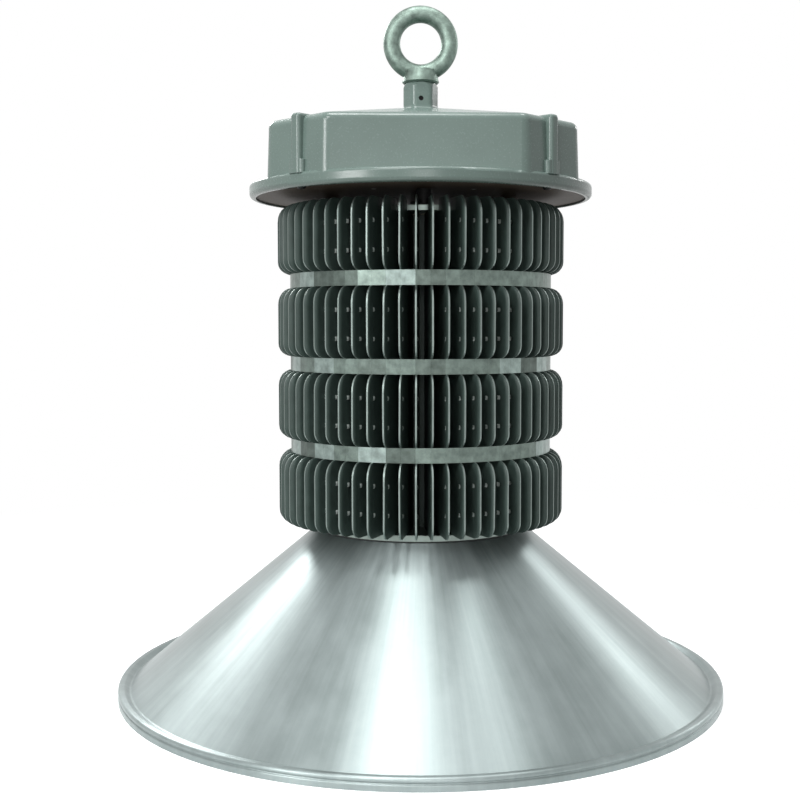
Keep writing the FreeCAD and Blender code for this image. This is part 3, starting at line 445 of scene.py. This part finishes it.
class FinSheet:
    """One fin drawn flat: distance out from the axis, height, and which side of the sheet."""

    def __init__(self, frame):
        low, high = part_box("cooling_fins")
        self.foot_z = low.z
        self.top_z = high.z
        self.out_r = reach_of(frame["nodes"]["cooling_fins"])
        self.step_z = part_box("top_plate")[0].z - STEP_GAP
        self.step_r = reach_of(frame["nodes"]["top_plate"]) + STEP_GAP
        flat = math.cos(math.pi / FIN_COUNT)
        self.tab_r = BAND_R / flat
        self.notch_r = self.tab_r - FIN_SHEET / 2
        self.fold_r = (reach_of(frame["nodes"]["heat_core"]) + FOOT_GAP) / flat + FIN_SHEET
        self.in_r = self.fold_r - FIN_SHEET / 2
        lobes_h = self.top_z - self.foot_z - FOOT_LOBE_EXTRA - BAND_COUNT * BAND_H
        self.lobe_h = lobes_h / (BAND_COUNT + 1)
        self.bands = [self.foot_z + FOOT_LOBE_EXTRA + self.lobe_h + (self.lobe_h + BAND_H) * i
                      for i in range(BAND_COUNT)]
        starts = [self.foot_z] + [z + BAND_H for z in self.bands]
        self.lobes = list(zip(starts, self.bands + [self.top_z]))

    def lobe_at(self, z):
        """(lower end, upper end) of the lobe at a height, or None beside a tab."""
        for low, high in self.lobes:
            if low < z < high:
                return low, high
        return None

    def edge_r(self, z, lobe):
        """Radius of a lobe's rounded outer edge at a height."""
        low, high = lobe
        into = min((z - low) / LOWER_CORNER_H, (high - z) / UPPER_CORNER_H, 1.0)
        out = math.sqrt(max(1 - (1 - into) ** 2, CORNER_LEAST))
        return self.notch_r + (self.out_r - self.notch_r) * out

    def dimples(self):
        """Heights of the dimples, two to a lobe."""
        middles = [top - self.lobe_h / 2 - DIMPLE_DROP for top in self.bands + [self.top_z]]
        return [z + side * DIMPLE_SPACING / 2 for z in middles for side in (-1, 1)]

    def rows(self):
        """The heights of the mesh rows: close together round the corners and across the dimples."""
        heights = {self.step_z}
        for low, high in self.lobes:
            for step in range(CORNER_STEPS + 1):
                into = 1 - math.cos(math.radians(90 * step / CORNER_STEPS))
                heights.update((low + into * LOWER_CORNER_H, high - into * UPPER_CORNER_H))
        for z in self.dimples():
            heights.update(z + offset for offset in dimple_steps())
        return sorted({snap(z) for z in heights})

    def radii(self, z, lobe):
        """Radii of the mesh columns at a height, from the inner edge to the notch or to the lobe's edge."""
        across = [DIMPLE_RING_R + offset for offset in dimple_steps()]
        columns = [self.in_r, self.step_r, COLUMN_R]
        columns += [r for r in across if r < self.notch_r - DIMPLE_CLEAR] + [self.notch_r]
        if lobe:
            wide = self.out_r - self.notch_r
            shares = [(r - self.notch_r) / wide for r in across if r > self.notch_r + DIMPLE_CLEAR]
            edge = self.edge_r(z, lobe) - self.notch_r
            columns += [self.notch_r + share * edge for share in shares + [0.5, 1.0]]
        return columns

    def dimple_height(self, r, z):
        """How far the sheet bulges out of its plane."""
        nearest = min(math.hypot(r - DIMPLE_RING_R, z - d) for d in self.dimples())
        if nearest >= DIMPLE_R:
            return 0.0
        return DIMPLE_DEPTH * math.cos(math.pi / 2 * nearest / DIMPLE_R) ** DIMPLE_CROWN


def snap(length):
    """A length to a tenth of a micrometre, so that equal places are one vertex."""
    return round(length, 7)


def dimple_steps():
    """Offsets of the mesh lines that cross a dimple."""
    return [step * DIMPLE_MESH_R / DIMPLE_STEPS for step in range(-DIMPLE_STEPS, DIMPLE_STEPS + 1)]


def add_fin(mesh, sheet, turn_deg, bend, tabs):
    """Adds one fin to a bmesh. bend(r, z) is how far it leans sideways; tabs has the finish of each tab."""
    turn = math.radians(turn_deg)
    along = Vector((math.cos(turn), math.sin(turn), 0))
    sideways = Vector((-math.sin(turn), math.cos(turn), 0))
    made = {}

    def vertex(r, z, side):
        key = (snap(r), z, side)
        if key not in made:
            offset = side * FIN_SHEET / 2 + bend(r, z) + sheet.dimple_height(r, z)
            made[key] = mesh.verts.new(along * r + sideways * offset + Vector((0, 0, z)))
        return made[key]

    def patch(corners, material):
        """A face on each side of the sheet, from (r, z) corners in order: anticlockwise from -sideways."""
        for side in (-1, 1):
            ring = [vertex(r, z, side) for r, z in (corners if side < 0 else corners[::-1])]
            ring = [v for i, v in enumerate(ring) if v is not ring[i - 1]]
            if len(ring) < 3:
                continue
            face = mesh.faces.new(ring)
            face.material_index = material
            face.smooth = True

    rows = sheet.rows()
    for low, high in zip(rows, rows[1:]):
        middle = (low + high) / 2
        lobe = sheet.lobe_at(middle)
        first = 1 if middle > sheet.step_z else 0
        below = sheet.radii(low, lobe)[first:]
        above = sheet.radii(high, lobe)[first:]
        for i in range(len(below) - 1):
            corners = [(below[i], low), (below[i + 1], low), (above[i + 1], high), (above[i], high)]
            bulge = sheet.dimple_height(sum(r for r, z in corners) / 4, middle)
            # Dimple crowns take the pale painted glint; the rest of the sheet takes the dark painted shade.
            patch(corners, DIMPLE if bulge > DIMPLE_DEPTH * DIMPLE_GLINT_SHARE else FACE_PAINTED_SHADE)
    close_sheet(mesh, made)
    for z, material in zip(sheet.bands, tabs):
        add_fold(mesh, sheet.tab_r, z, BAND_H, turn_deg, material)
    add_fold(mesh, sheet.fold_r, sheet.foot_z, sheet.step_z - sheet.foot_z, turn_deg, FACE_PAINTED_SHADE)


def close_sheet(mesh, made):
    """Joins the two faces of the sheet round their open edges with the sheared edge."""
    twin = {v: made[(r, z, -side)] for (r, z, side), v in made.items()}
    near = [v for (r, z, side), v in made.items() if side < 0]
    open_edges = dict.fromkeys(e for v in near for e in v.link_edges if e.is_boundary)
    for edge in open_edges:
        loop = edge.link_loops[0]
        start, end = loop.vert, loop.link_loop_next.vert
        face = mesh.faces.new((end, start, twin[start], twin[end]))
        face.material_index = EDGE
        face.smooth = False


def add_fold(mesh, outer, z, height, turn_deg, material):
    """The part of a fin that is folded over to the next fin, one sheet thick."""
    pitch = 360.0 / FIN_COUNT
    back = -FIN_SHEET / 2

    def polar(radius, side, turn):
        angle = math.radians(turn_deg + turn)
        reach = math.sqrt(radius ** 2 - side ** 2)
        return (reach * math.cos(angle) - side * math.sin(angle),
                reach * math.sin(angle) + side * math.cos(angle))

    plan = [polar(outer - FIN_SHEET, back, 0), polar(outer, back, 0),
            polar(outer, back - FIN_GAP, pitch), polar(outer - FIN_SHEET, back - FIN_GAP, pitch)]
    lower = [mesh.verts.new((x, y, z)) for x, y in plan]
    upper = [mesh.verts.new((x, y, z + height)) for x, y in plan]
    rings = [lower[::-1], upper]
    for i in range(4):
        rings.append([lower[i], lower[(i + 1) % 4], upper[(i + 1) % 4], upper[i]])
    for ring in rings:
        face = mesh.faces.new(ring)
        face.material_index = material


def uneven(chance, out_r):
    """How far one fin leans out of its plane, at a radius and a height."""
    lean = chance.gauss(0, LEAN)
    wave = chance.gauss(0, WAVE)
    phase = chance.uniform(0, math.tau)

    def bend(r, z):
        out = max(0.0, (r - BEND_FROM_R) / (out_r - BEND_FROM_R))
        return out ** 2 * (lean + wave * math.sin(phase + z * WAVE_TURN))

    return bend


def build_fins(frame, materials):
    """Sixty sheet fins in four pieces, each a quarter of the stack."""
    sheet = FinSheet(frame)
    chance = random.Random(BEND_SEED)
    share = FIN_COUNT // FIN_PIECES
    for part in range(FIN_PIECES):
        name = f"fins_{part + 1}"
        mesh = bmesh.new()
        for i in range(part * share, (part + 1) * share):
            bend = uneven(chance, sheet.out_r)
            if i % 2 == 0:  # the next fin's tabs have the same shades: painted reflection patches two tabs wide
                tabs = [chance.choice(BAND_CHOICES) for _ in range(BAND_COUNT)]
            add_fin(mesh, sheet, FIN_FIRST_DEG + i * 360.0 / FIN_COUNT, bend, tabs)
        mesh.normal_update()
        data = bpy.data.meshes.new(name)
        mesh.to_mesh(data)
        mesh.free()
        for finish in FIN_FINISHES:
            data.materials.append(materials[finish])
        piece = bpy.data.objects.new(name, data)
        bpy.context.scene.collection.objects.link(piece)
        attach(piece, "root")
        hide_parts("cooling_fins")


# ---------------------------------------------------------------- studio
def clear_startup_scene():
    for thing in list(bpy.data.objects):
        bpy.data.objects.remove(thing)


def seen_directly(tree):
    """1 for camera, glossy and transmission rays, 0 for those that carry light to the object."""
    path = make(tree, "LightPath")
    seen = path.outputs["Is Camera Ray"]
    for kind in ("Is Glossy Ray", "Is Transmission Ray"):
        either = make(tree, "Math", {0: seen, 1: path.outputs[kind]}, operation="ADD", use_clamp=True)
        seen = either.outputs[0]
    return seen


def build_world():
    world = bpy.data.worlds.new("studio")
    bpy.context.scene.world = world
    world.use_nodes = True
    tree = world.node_tree
    tree.nodes.clear()
    soft = make(tree, "Background", {"Color": AMBIENT_COLOUR, "Strength": AMBIENT_STRENGTH})
    white = make(tree, "Background", {"Color": WHITE, "Strength": 1.0})
    mixed = make(tree, "MixShader", {0: seen_directly(tree), 1: soft.outputs[0], 2: white.outputs[0]})
    make(tree, "OutputWorld", {"Surface": mixed.outputs[0]})


def build_floor():
    """A pale floor that keeps the object's shadow and runs out into the white of the world."""
    bpy.ops.mesh.primitive_circle_add(vertices=96, radius=FLOOR_R, fill_type="NGON", location=(0, 0, 0))
    floor = bpy.context.object
    floor.name = "floor"
    material, tree = new_material("pale_floor")
    flat = stretched(tree, place_of(tree), (1, 1, 0))
    away = make(tree, "VectorMath", {0: flat}, operation="LENGTH").outputs["Value"]
    far = make(tree, "MapRange", {"Value": away, "From Min": FLOOR_PALE_TO, "From Max": FLOOR_WHITE_FROM},
               interpolation_type="SMOOTHSTEP")
    matt = make(tree, "BsdfDiffuse", {"Color": FLOOR_COLOUR})
    bounce = make(tree, "BsdfDiffuse", {"Color": FLOOR_BOUNCE})
    lift = make(tree, "Emission", {"Color": WHITE, "Strength": FLOOR_LIFT})
    near = make(tree, "AddShader", {0: matt.outputs[0], 1: lift.outputs[0]})
    white = make(tree, "Emission", {"Color": WHITE, "Strength": 1.0})
    shown = make(tree, "MixShader", {0: far.outputs[0], 1: near.outputs[0], 2: white.outputs[0]})
    mixed = make(tree, "MixShader", {0: seen_directly(tree), 1: bounce.outputs[0], 2: shown.outputs[0]})
    finish_material(tree, mixed.outputs[0])
    floor.data.materials.append(material)


def area_lamp(name, place, width, height, power):
    """A rectangular lamp that faces LAMP_AIM."""
    data = bpy.data.lights.new(name, "AREA")
    data.shape = "RECTANGLE"
    data.size = width
    data.size_y = height
    data.energy = power
    lamp = bpy.data.objects.new(name, data)
    bpy.context.scene.collection.objects.link(lamp)
    lamp.location = place
    lamp.rotation_euler = (Vector(LAMP_AIM) - place).to_track_quat("-Z", "Y").to_euler()


def build_lamps():
    for name, azimuth, elevation, width, height, power in LAMPS:
        turn, rise = math.radians(azimuth), math.radians(elevation)
        out = Vector((math.sin(turn) * math.cos(rise), -math.cos(turn) * math.cos(rise), math.sin(rise)))
        area_lamp(name, Vector(LAMP_AIM) + out * LAMP_DISTANCE, width, height, power)


def build_camera():
    data = bpy.data.cameras.new("camera")
    data.lens = CAMERA_LENS
    data.sensor_width = CAMERA_SENSOR
    data.shift_x = CAMERA_SHIFT_X
    camera = bpy.data.objects.new("camera", data)
    bpy.context.scene.collection.objects.link(camera)
    turn = math.radians(CAMERA_TURN_DEG)
    camera.location = (CAMERA_DISTANCE * math.sin(turn), -CAMERA_DISTANCE * math.cos(turn), CAMERA_HEIGHT)
    camera.rotation_euler = (math.radians(90 - CAMERA_TILT_DEG), 0, turn)
    bpy.context.scene.camera = camera


clear_startup_scene()
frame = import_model()
bpy.context.scene.view_settings.view_transform = "Standard"
materials = make_materials()
dress_cad_nodes(frame, materials)
build_reflector(frame, materials)
build_fins(frame, materials)
build_world()
build_floor()
build_lamps()
build_camera()
